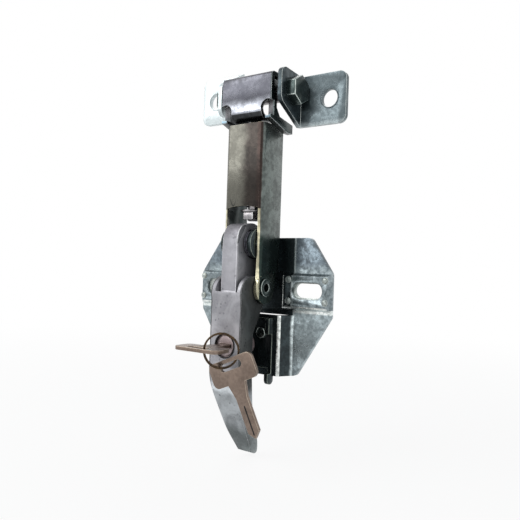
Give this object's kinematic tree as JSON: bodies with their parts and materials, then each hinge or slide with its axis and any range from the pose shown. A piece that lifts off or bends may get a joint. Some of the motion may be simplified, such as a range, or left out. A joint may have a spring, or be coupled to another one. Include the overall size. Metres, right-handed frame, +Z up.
{
  "type": "lever draw latch",
  "caption": "Over-centre draw latch: keyed lever on a slotted base pulls a channel arm whose hook grips a bolted keeper.",
  "frame": {"origin": "on the panel face, midway between the two mounting slots of the base plate", "axes": "+X to the right along the slots, +Y into the panel, +Z up towards the keeper; the lever faces -Y"},
  "size_m": [0.0924, 0.0565, 0.2046],
  "materials": {
    "base_zinc": "bright zinc plating",
    "plate_zinc": "bright zinc plating",
    "bracket_zinc": "bright zinc plating",
    "keeper_zinc": "bright zinc plating",
    "arm_zinc": "bright zinc plating",
    "hook_zinc": "bright zinc plating",
    "fastener_zinc": "bright zinc plating",
    "spring_steel": "oiled spring steel",
    "cast_lever": "tumbled die casting with small pits",
    "lock_dark": "dark lock barrel",
    "lock_face": "turned lock plug",
    "key_nickel": "nickel plated key, lightly brushed",
    "ring_bronze": "dark plated spring wire"
  },
  "bodies": {
    "base": {"base_plate": "base_zinc", "backing_plate_left": "plate_zinc", "backing_plate_right": "plate_zinc", "pivot_bracket": "bracket_zinc", "bracket_rivets": "fastener_zinc", "pivot_pin": "fastener_zinc", "torsion_spring": "spring_steel", "pivot_spacer": "fastener_zinc", "lock_catch": "bracket_zinc", "catch_rivets": "fastener_zinc", "keeper_bracket_right": "keeper_zinc", "keeper_bracket_left": "keeper_zinc", "keeper_bolt": "fastener_zinc", "keeper_nut": "fastener_zinc", "keeper_sleeve": "fastener_zinc"},
    "handle": {"handle_lever": "cast_lever", "arm_pin": "fastener_zinc", "lock_barrel": "lock_dark"},
    "lock": {"lock_plug": "lock_face", "lock_cam": "plate_zinc", "cam_screw": "fastener_zinc", "lock_key": "key_nickel"},
    "ring": {"split_ring": "ring_bronze"},
    "spare": {"spare_key": "key_nickel"},
    "arm": {"draw_arm": "arm_zinc", "hook_head": "hook_zinc", "draw_rod": "fastener_zinc", "rod_nut": "fastener_zinc", "spring_washer": "fastener_zinc", "spring_seat": "plate_zinc", "draw_spring": "spring_steel"}
  },
  "joints": [
    {"name": "lever_hinge", "type": "hinge", "parent": "base", "child": "handle", "pos_m": [0, -0.02, 0.023], "axis": [-1, 0, 0], "range_deg": [0, 60]},
    {"name": "arm_pivot", "type": "hinge", "parent": "handle", "child": "arm", "pos_m": [0, -0.0175, 0.001], "axis": [-1, 0, 0], "range_deg": [-48, 0]},
    {"name": "lock_turn", "type": "hinge", "parent": "handle", "child": "lock", "pos_m": [0, -0.025, -0.028], "axis": [0, -1, 0], "range_deg": [0, 90]},
    {"name": "ring_swing", "type": "hinge", "parent": "lock", "child": "ring", "pos_m": [0.00995, -0.04831, -0.028], "axis": [-0.5736, 0.8192, 0], "range_deg": [-8, 8]},
    {"name": "spare_key_swing", "type": "hinge", "parent": "ring", "child": "spare", "pos_m": [0.01241, -0.04659, -0.03542], "axis": [0.7595, 0.5318, 0.3746], "range_deg": [-6, 6]}
  ],
  "couplings": [
    {"joint": "arm_pivot", "follows": "lever_hinge", "ratio": -0.8}
  ]
}
